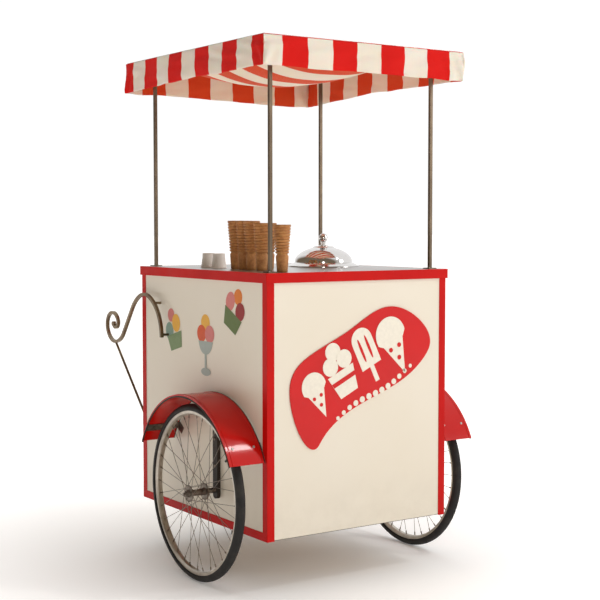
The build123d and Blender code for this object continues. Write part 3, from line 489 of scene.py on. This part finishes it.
def make_canopy():
    """One sheet: a roof that sags between the bearers and a valance that hangs on four sides."""
    low, high = CANOPY_LOW, CANOPY_HIGH
    half_x = (high.x - low.x) / 2 - CLOTH_INSET
    half_y = (high.y - low.y) / 2 - CLOTH_INSET
    mid_y = (high.y + low.y) / 2
    top = high.z - CLOTH_INSET
    drop = high.z - low.z - CLOTH_INSET
    rail_y = half_y - RAIL_INSET
    verts, index = [], {}

    def stations(half):
        """Places across the roof, closer together at its edges."""
        edge = [0.0, 0.0015, 0.0035, 0.0060, 0.0095, EDGE_ROUND]
        inner = half - edge[-1]
        count = 72
        middle = [-inner + 2 * inner * n / count for n in range(1, count)]
        return [-half + e for e in edge] + middle + [half - e for e in reversed(edge)]

    xs, ys = stations(half_x), stations(half_y)
    nx, ny = len(xs) - 1, len(ys) - 1

    def roof_point(x, y):
        sag_x = max(0.0, 1 - (abs(x) / BEARER_X) ** 2.2)
        sag_y = max(0.0, 1 - (abs(y) / rail_y) ** 2.4)
        z = top - SAG * sag_x ** 0.9 * sag_y ** 0.85
        z += ROOF_PUCKER * sag_x * sag_y * noise.noise(Vector((x * 9, y * 9, 1.7)))
        edge = min(half_x - abs(x), half_y - abs(y))
        z -= EDGE_DROP * max(0.0, 1 - edge / EDGE_ROUND) ** 2
        return Vector((x, mid_y + y, z))

    for i in range(nx + 1):
        for j in range(ny + 1):
            index["roof", i, j] = len(verts)
            verts.append(roof_point(xs[i], ys[j]))

    rim = [(i, 0) for i in range(nx)] + [(nx, j) for j in range(ny)]
    rim += [(nx - i, ny) for i in range(nx)] + [(0, ny - j) for j in range(ny)]
    for n, (i, j) in enumerate(rim):
        x, y = xs[i], ys[j]
        on_x, on_y = i in (0, nx), j in (0, ny)
        out = Vector((math.copysign(1, x) if on_x else 0, math.copysign(1, y) if on_y else 0, 0))
        out.normalize()
        along = y if on_x and not on_y else x
        corner = math.hypot(half_x - abs(x), half_y - abs(y))
        seed = 3.1 * (1 + (x > half_x * 0.99) + 2 * (y > half_y * 0.99) + 4 * (y < -half_y * 0.99))
        for k in range(1, FALL_ROWS + 1):
            depth = k / FALL_ROWS
            calm = min(1.0, corner / CALM_CORNER)
            wave = HEM_WAVE * fold(along, seed) * depth ** 1.3 * calm
            pleat = CORNER_PLEAT * math.exp(-corner / 0.055) * math.sin(corner * 120 + depth * 5 + seed)
            uneven = 0.6 + noise.noise(Vector((along * 4, seed, 9)))
            bulge = BULGE * math.sin(math.pi * depth) * uneven
            ripple = RIPPLE * noise.noise(Vector((along * 9 + depth * 1.5, depth * 3.4, seed)))
            shift = (wave + pleat * depth ** 0.5 + bulge + ripple) * min(1.0, depth * 3)
            shift = max(shift, -0.0022 if depth < 0.25 else -0.012)      # clear of the frame inside
            rear = max(0.0, y / half_y) * (0.75 + 0.25 * x / half_x)
            hem = (HEM_UNEVEN * fold(along * 0.8, seed + 20) * calm - REAR_HEM_LOWER * rear) * depth
            base = verts[index["roof", i, j]]
            verts.append(base + out * shift + Vector((0, 0, EDGE_DROP - drop * depth + hem)))
            index["fall", n, k] = len(verts) - 1
        index["fall", n, 0] = index["roof", i, j]

    faces, uvs = [], []

    def roof_u(y):
        return (y + half_y) / ROOF_STRIPE + ROOF_PHASE

    def front_u(x):
        return (x + half_x) / FRONT_STRIPE + FRONT_PHASE

    for i in range(nx):
        for j in range(ny):
            corners = ((i, j), (i + 1, j), (i + 1, j + 1), (i, j + 1))
            faces.append(tuple(index["roof", a, b] for a, b in corners))
            for a, b in corners:
                uvs.append((roof_u(ys[b]), 1.0 + xs[a] + half_x))
    count = len(rim)
    for n in range(count):
        m = (n + 1) % count
        (i, j), (i2, j2) = rim[n], rim[m]
        front = j == j2
        for k in range(FALL_ROWS):
            cells = ((n, k), (n, k + 1), (m, k + 1), (m, k))
            faces.append(tuple(index["fall", a, b] for a, b in cells))
            for a, b in cells:
                ii, jj = (i, j) if a == n else (i2, j2)
                uvs.append((front_u(xs[ii]) if front else roof_u(ys[jj]), drop * (1 - b / FALL_ROWS)))
    piece = add_piece("canopy_cloth", verts, faces, MATERIALS["canvas"], uvs=uvs)
    solid = piece.modifiers.new("thickness", "SOLIDIFY")
    solid.thickness = CLOTH
    solid.offset = 0.0
    piece.data.materials.append(MATERIALS["canvas_painted_backlight"])      # the underside's orange tone is painted light shining through the cloth
    solid.material_offset = 1
    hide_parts("canopy")


# ---------------------------------------------------------------- wheels and fenders
def make_tyre(side):
    """Round tyre with five rain grooves, two on each side of the middle one, and notched shoulders."""
    low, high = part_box(f"tyre_{side}")
    centre = (low + high) / 2
    radius = (high.z - low.z) / 2
    half = (high.x - low.x) / 2
    middle = radius - half
    sweep = math.radians(230.0)      # how far the section runs round, open towards the rim
    steps, turns = 64, 288
    profile, shoulder = [], []
    for i in range(steps + 1):
        a = -sweep / 2 + sweep * i / steps
        degrees = abs(math.degrees(a))
        cut = max(0.0011 * math.exp(-((degrees - mark) / 1.6) ** 2) for mark in (0.0, 15.0, 30.0))
        r = half - 0.0002 - cut
        profile.append((middle + r * math.cos(a), r * math.sin(a)))
        shoulder.append(32.0 < degrees < 52.0)
    verts, faces = [], []
    for i in range(turns):
        a = 2 * math.pi * i / turns
        for (r, h), notched in zip(profile, shoulder):
            r -= 0.0009 if notched and i % 4 == 0 else 0.0
            verts.append(Vector((centre.x + h, centre.y + r * math.cos(a), centre.z + r * math.sin(a))))
    n = len(profile)
    for i in range(turns):
        j = (i + 1) % turns
        for k in range(n - 1):
            faces.append((i * n + k, i * n + k + 1, j * n + k + 1, j * n + k))
    piece = add_piece(f"tyre_tread_{side}", verts, faces, MATERIALS["tyre"], f"wheel_{side}")
    solid = piece.modifiers.new("wall", "SOLIDIFY")
    solid.thickness = 0.0025
    solid.offset = 1.0
    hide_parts(f"tyre_{side}")


def arc_tube(name, side_x, centre, radius, start, stop, tube, material, slot, steps=96, ring=10):
    """A round bead that follows a fender's edge."""
    verts, faces = [], []
    for i in range(steps + 1):
        a = math.radians(start + (stop - start) * i / steps)
        out = Vector((0, math.cos(a), math.sin(a)))
        for k in range(ring):
            b = 2 * math.pi * k / ring
            verts.append(Vector((side_x + tube * math.cos(b), centre.y, centre.z))
                         + out * (radius + tube * math.sin(b)))
    for i in range(steps):
        for k in range(ring):
            m = (k + 1) % ring
            faces.append((i * ring + k, i * ring + m, (i + 1) * ring + m, (i + 1) * ring + k))
    faces.append(tuple(range(ring - 1, -1, -1)))
    faces.append(tuple(range(steps * ring, (steps + 1) * ring)))
    return add_piece(name, verts, faces, material)


def make_fender_edges(side):
    """Round beads for the rolled edges along the outer rim of each fender, and a thinner one along the inner
    rim; they are drawn black as painted shade of the fender's edges.
    """
    low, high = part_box(f"fender_{side}")
    hub_low, hub_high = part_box(f"hub_{side}")
    hub = (hub_low + hub_high) / 2
    sign = -1 if side == "left" else 1
    radius = high.z - hub.z - 0.0016
    outer = low.x if sign < 0 else high.x
    inner = high.x if sign < 0 else low.x
    ends = (24.4, 155.6)             # degrees up from the rear level
    # painted shade: the beads are black to stand for the dark shade along the fender's edges
    for name, x, under, tube in (("fender_shade_bead", outer - sign * 0.0004, 0.0078, 0.0030),
                                 ("fender_inner_shade_bead", inner + sign * 0.0010, 0.0010, 0.0022)):
        arc_tube(f"{name}_{side}", x, hub, radius - under, *ends, tube, MATERIALS["black"], "black_metal")


# ---------------------------------------------------------------- goods on the counter
CONE_STACKS = ((-0.260, -0.030, 0.183), (-0.266, -0.097, 0.183), (-0.273, -0.163, 0.182),
               (-0.281, -0.244, 0.174), (-0.208, -0.176, 0.174), (-0.296, -0.403, 0.169))
CUP_PLACES = ((-0.260, 0.177), (-0.260, 0.097))
CUP_LIFT = 0.0002           # the cups stand just clear of the steel


def cone_profile(tall, height, rng):
    """A stack of nested cones in outline: from the middle of its foot, up outside and down inside."""
    foot, mouth = 0.0197, 0.0318
    first, usual_pitch = 0.064, 0.0105       # the lowest rim and the step from rim to rim

    def radius(h):
        return foot + (mouth - foot) * h / tall

    profile = [(0.0, -0.012), (0.013, -0.012), (0.0158, 0.0004), (radius(0) - 0.0005, 0.0010)]
    profile += [(radius(h) - 0.0006, h) for h in (0.012, 0.026, 0.040, 0.056)]
    count = round((height - first) / usual_pitch)
    pitch = (height - first) / count
    for k in range(count):
        h = first + pitch * k
        bulge = rng.uniform(0.0002, 0.0010)
        profile += [(radius(h) - 0.0058, h), (radius(h) - 0.0016, h + pitch * 0.20),
                    (radius(h) - 0.0001 + bulge * 0.6, h + pitch * 0.45),
                    (radius(h) + 0.0004 + bulge, h + pitch * 0.72),
                    (radius(h) - 0.0002 + bulge, h + pitch * 0.84),
                    (radius(h) - 0.0024, h + pitch * 0.93)]
    lip = radius(height)
    profile += [(lip, height), (lip - 0.0012, height + 0.0009), (lip - 0.0024, height - 0.0006)]
    profile += [(radius(height - d) - 0.0032, height - d) for d in (0.012, 0.03, 0.05)]
    profile += [(0.008, height - 0.064), (0.0, height - 0.066)]
    return profile


def make_cones():
    """Nested wafer cones: each rim shows as a ridge, and the lowest cone stands in its hole."""
    rng = random.Random(11)
    pieces = []
    for number, (x, y, tall) in enumerate(CONE_STACKS, 1):
        height = tall - rng.uniform(0.001, 0.003)
        profile = cone_profile(tall, height, rng)
        lean = Matrix.Rotation(rng.uniform(-0.007, 0.007), 3, "X")
        name = f"wafer_cones_{number}"
        piece = turned_piece(name, profile, (0, 0, 0), MATERIALS["wafer"], 48)
        spin = Matrix.Rotation(rng.uniform(0, 6), 3, "Z")
        for vertex in piece.data.vertices:
            ragged = 0.0004 * noise.noise(vertex.co * 260)
            place = spin @ vertex.co + Vector((0, 0, ragged))
            vertex.co = (lean @ place) + Vector((x, y + CENTRE_Y, COUNTER_Z))
        pieces.append(piece)
    for piece in pieces:
        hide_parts("cone_stacks")


def make_cups():
    """Two upturned paper cups with a rolled mouth and a recessed foot."""
    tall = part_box("paper_cups")[1].z - COUNTER_Z - CUP_LIFT
    mouth, foot, roll = 0.0318, 0.0238, 0.0014
    for number, (x, y) in enumerate(CUP_PLACES, 1):
        profile = [(mouth - 0.0016, 0.0006)]
        profile += [(mouth - roll + roll * math.cos(a), 0.0013 + roll * math.sin(a))
                    for a in [math.radians(d) for d in range(-120, 121, 30)]]
        profile += [(mouth - 0.0022 - (mouth - foot) * h / tall, h) for h in (0.004, 0.02, 0.04)]
        profile += [(foot, tall - 0.0012), (foot - 0.0005, tall), (foot - 0.0014, tall - 0.0004),
                    (foot - 0.0018, tall - 0.005), (0.0, tall - 0.005), (0.0, tall - 0.0062),
                    (foot - 0.0030, tall - 0.0062), (mouth - 0.0035, 0.003)]
        place = (x, y + CENTRE_Y, COUNTER_Z + CUP_LIFT)
        name = f"paper_cup_{number}"
        cup = turned_piece(name, profile, place, MATERIALS["paper"], 72, closed=True)
        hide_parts("paper_cups")


# ---------------------------------------------------------------- stickers and sign
STICKER_LAYER = 0.00025
STICKER_THICK = 0.00022     # a little less, so that layers overlap without touching
SIGN_LAYER = 0.0009


def side_sticker(name, outline, y, z, layer, ink):
    """A printed shape on the left panel, drawn as seen from the left."""
    point = (LEFT_FACE - STICKER_LAYER * layer, y + CENTRE_Y, z)
    plate(name, outline, point, (0, -1, 0), (0, 0, 1), STICKER_THICK, MATERIALS[ink])


def make_stickers():
    """Two tilted cups of scoops and a tall glass; each row is a name, an outline and an ink."""
    bowl = [(-53, 0), (53, 0)] + ellipse(0, 0, 50, 50, 350, 190, 24)
    groups = {
        "cup_a": (0.196, 0.866, 15.0, [
            ("teal_scoop", ellipse(-36, 32, 31, 35), "teal"),
            ("pink_scoop", ellipse(-8, 90, 26, 26), "pink"),
            ("yellow_scoop", ellipse(24, 52, 31, 35), "yellow"),
            ("beaker", [(-58, 16), (58, 16), (44, -46), (-42, -46)], "green"),
        ]),
        "cup_b": (-0.238, 0.968, -27.0, [
            ("orange_scoop", ellipse(-2, 84, 28, 29), "orange"),
            ("rose_scoop", ellipse(-42, 44, 30, 36), "pink"),
            ("cherry_scoop", ellipse(34, 42, 31, 34), "cherry"),
            ("beaker", [(-66, 16), (60, 16), (44, -48), (-46, -48)], "leaf"),
        ]),
        "sundae": (-0.042, 0.868, 0.0, [
            ("yellow_scoop", ellipse(-2, 70, 32, 31), "yellow"),
            ("coral_scoop", ellipse(-31, 28, 33, 32), "coral"),
            ("rose_scoop", ellipse(29, 28, 34, 33), "pink"),
            ("bowl", bowl, "glassy"),
            ("stem", [(-7, -46), (7, -46), (7, -104), (-7, -104)], "glassy"),
            ("foot", ellipse(2, -114, 35, 15), "glassy"),
        ]),
    }
    for group, (y, z, tilt, shapes) in groups.items():
        for layer, (name, outline, ink) in enumerate(shapes, 1):
            side_sticker(f"sticker_{group}_{name}", turned(outline, tilt), y, z, layer, ink)


def sign_shape(name, outline, x, z, tilt, layer, material, scale=1.0):
    """A cut-out on the plaque, drawn upright in millimetres and tilted with the row."""
    point = (0, SIGN_FACE - SIGN_LAYER * (layer - 1) + 0.0001, 0)
    placed = turned(outline, tilt, x, z, scale)
    plate(name, placed, point, (1, 0, 0), (0, 0, 1), SIGN_LAYER, material)


def make_sign():
    """A row of cut-out treats on the plaque, from a small cone to a large one, over a beaded line."""
    cream, red = MATERIALS["sign_cream"], MATERIALS["sign_red"]
    tilt = 26.0
    step = (math.cos(math.radians(tilt)), math.sin(math.radians(tilt)))
    start = (-212, 716)              # the row's left end, in millimetres across and up

    def at(run, rise=0.0):
        return (start[0] + run * step[0] - rise * step[1], start[1] + run * step[1] + rise * step[0])

    def cone(tag, run, scale):
        x, z = at(run)
        sign_shape(f"sign_cone_{tag}", [(-34, 0), (34, 0), (0, -92)], x, z, tilt, 1, cream, scale)
        drips = [(-42, -2), (-30, -12), (-18, -2), (0, -13), (18, -2), (30, -12)]
        scoop = ellipse(0, 6, 42, 42, -8, 188, 30) + drips
        sign_shape(f"sign_scoop_{tag}", scoop, x, z, tilt, 2, cream, scale)
        for k, (dx, dz) in enumerate(((-14, -26), (12, -26), (0, -52))):
            dot = turned(ellipse(0, 0, 5.5, 5.5, steps=20), tilt, dx, dz)
            sign_shape(f"sign_pit_{tag}_{k}", dot, x, z, tilt, 2, red, scale)

    cone("small", 10, 1.25)
    cone("large", 392, 1.62)
    x, z = at(136, -6)
    big = 1.38
    sign_shape("sign_tub", [(-44, 6), (44, 6), (30, -62), (-30, -62)], x, z, tilt, 1, cream, big)
    for k, (dx, dz) in enumerate(((0, 62), (-24, 30), (24, 30))):
        sign_shape(f"sign_ball_{k}", ellipse(dx, dz, 24, 24), x, z, tilt, 1.4 + 0.3 * k, cream, big)
    band = [(-40, -14), (40, -14), (37, -26), (-37, -26)]
    sign_shape("sign_tub_band", band, x, z, tilt, 2, red, big)
    x, z = at(268, 2)
    tall = 1.55
    bar = ellipse(0, 34, 30, 30, 0, 180, 24) + [(-30, -34), (30, -34)]
    stick = [(-6, -34), (6, -34), (6, -74), (-6, -74)]
    sign_shape("sign_lolly", bar, x, z, tilt, 1, cream, tall)
    sign_shape("sign_stick", stick, x, z, tilt, 1, cream, tall)
    for k in (-1, 1):
        sign_shape(f"sign_lolly_groove_{k}", ellipse(k * 11, 12, 3.5, 30), x, z, tilt, 2, red, tall)
    beads, first, pitch = 13, 52, 31
    for k in range(beads):
        x, z = at(first + pitch * k, -146 + 9 * math.sin(k * 0.6))
        size = 6.0 + 6.0 * math.sin(math.pi * (k + 1) / (beads + 1))
        sign_shape(f"sign_bead_{k}", ellipse(0, 0, size, size, steps=24), x, z, tilt, 1, cream)


# ---------------------------------------------------------------- assembly
def make_materials():
    table = {
        # lacquer, rubber, wood, cloth and wafer: name, colour, second tone; metal adds roughness and patches
        "red": lacquer("red_enamel", (0.56, 0.004, 0.002), (0.48, 0.003, 0.002), 0.38, 0.0),
        "red_gloss": lacquer("red_gloss", (0.58, 0.006, 0.003), (0.50, 0.004, 0.002), 0.20, 0.30),
        "cream": laminate("cream_board", (0.78, 0.715, 0.60), (0.30, 0.24, 0.16)),
        # painted highlight: the handles' second tone is a lighter gold in large patches, standing for
        # reflections
        "bronze": metal("antique_bronze", (0.150, 0.105, 0.068), (0.40, 0.31, 0.19), 0.33, (0.45, 0.75), 3.2),
        "post": metal("post_bronze", (0.135, 0.100, 0.070), (0.22, 0.165, 0.11), 0.36, (0.42, 0.80), 9.0),
        "steel": brushed("counter_steel", (0.47, 0.455, 0.44)),
        "chrome": metal("polished_chrome", (0.70, 0.68, 0.665), (0.52, 0.49, 0.465), 0.09,
                        (0.55, 0.9), 40.0, 0.00003),
        "spoke": metal("spoke_steel", (0.27, 0.235, 0.195), (0.12, 0.085, 0.06), 0.34, (0.40, 0.70), 60.0),
        "hub": metal("hub_steel", (0.30, 0.26, 0.22), (0.10, 0.075, 0.055), 0.42, (0.35, 0.65), 45.0),
        "rim": metal("rim_steel", (0.52, 0.475, 0.41), (0.36, 0.31, 0.25), 0.33, (0.42, 0.75), 26.0),
        "zinc": metal("zinc_plate", (0.50, 0.49, 0.46), (0.32, 0.29, 0.25), 0.40, (0.45, 0.75), 70.0),
        "alu": metal("aluminium_tube", (0.62, 0.60, 0.57), (0.45, 0.43, 0.40), 0.38, (0.45, 0.8), 50.0),
        "black": lacquer("black_iron", (0.022, 0.017, 0.013), (0.05, 0.035, 0.025), 0.45, 0.1),
        "tyre": rubber("tyre_rubber", (0.012, 0.0105, 0.0095), (0.045, 0.038, 0.030)),
        "rubber": rubber("foot_rubber", (0.018, 0.017, 0.016), (0.06, 0.052, 0.044)),
        "wood": plywood("birch_ply", (0.60, 0.43, 0.26), (0.42, 0.28, 0.15)),
        "foam": foam("insulation_foam", (0.86, 0.82, 0.66)),
        "canvas": canvas("striped_canvas", (0.66, 0.008, 0.005), (0.80, 0.74, 0.64)),
        # painted light: the underside is tinted orange as if lit through the cloth from above
        "canvas_painted_backlight": canvas("striped_canvas_painted_backlight", (0.66, 0.065, 0.014), (0.80, 0.70, 0.55)),
        "wafer": wafer("waffle", (0.60, 0.275, 0.080), (0.32, 0.110, 0.024)),
        "paper": card("cup_paper", (0.84, 0.80, 0.74)),
        "sign_cream": card("sign_cream", (0.84, 0.78, 0.66)),
        "sign_red": lacquer("sign_red", (0.62, 0.008, 0.008), (0.54, 0.007, 0.007), 0.3, 0.3),
    }
    inks = {
        "pink": (0.66, 0.20, 0.18), "yellow": (0.80, 0.42, 0.05), "teal": (0.24, 0.36, 0.28),
        "green": (0.19, 0.27, 0.12), "orange": (0.72, 0.19, 0.015), "cherry": (0.30, 0.012, 0.012),
        "leaf": (0.115, 0.165, 0.042), "coral": (0.66, 0.085, 0.012), "glassy": (0.38, 0.43, 0.39),
    }
    table.update({name: card(f"sticker_{name}", colour) for name, colour in inks.items()})
    return table


NODE_LOOKS = {
    "cream": ["front_panel", "left_panel", "right_panel", "rear_panel", "rear_door"],
    "red": ["edge_trims", "counter_band"],
    "red_gloss": ["fender_left", "fender_right"],
    "sign_red": ["front_sign"],
    "bronze": ["handle_left", "handle_right", "handle_studs", "handle_struts"],
    "post": ["canopy_posts"],
    "steel": ["counter_sheet", "gelato_tub"],
    "chrome": ["dome_lid", "lid_knob", "door_knob"],
    "spoke": ["spokes_left", "spokes_right"],
    "hub": ["hub_left", "hub_right", "axle_nuts", "axles", "bracket_bolts", "fender_straps"],
    "rim": ["rim_left", "rim_right"],
    "zinc": ["bearings_left", "bearings_right", "fender_screws", "dome_screws", "frame_hinge_leaves",
             "door_hinge_leaves", "hinge_pins", "stand_pin"],
    "alu": ["canopy_frame"],
    "black": ["base_frame", "stand_bracket", "stand_leg", "wheel_bracket_left", "wheel_bracket_right"],
    "rubber": ["inner_tube_left", "inner_tube_right", "stand_foot"],
    "wood": ["floor_board", "corner_uprights", "top_frame", "counter_core", "well_shelf", "shelf_cleats"],
    "foam": ["insulation_jacket"],
}


def dress_nodes():
    for look, names in NODE_LOOKS.items():
        for name in names:
            materials = nodes[name].data.materials
            materials.clear()
            materials.append(MATERIALS[look])


make_camera()
MATERIALS = make_materials()
make_stage()
dress_nodes()
make_canopy()
for side in ("left", "right"):
    make_tyre(side)
    make_fender_edges(side)
make_cones()
make_cups()
make_stickers()
make_sign()
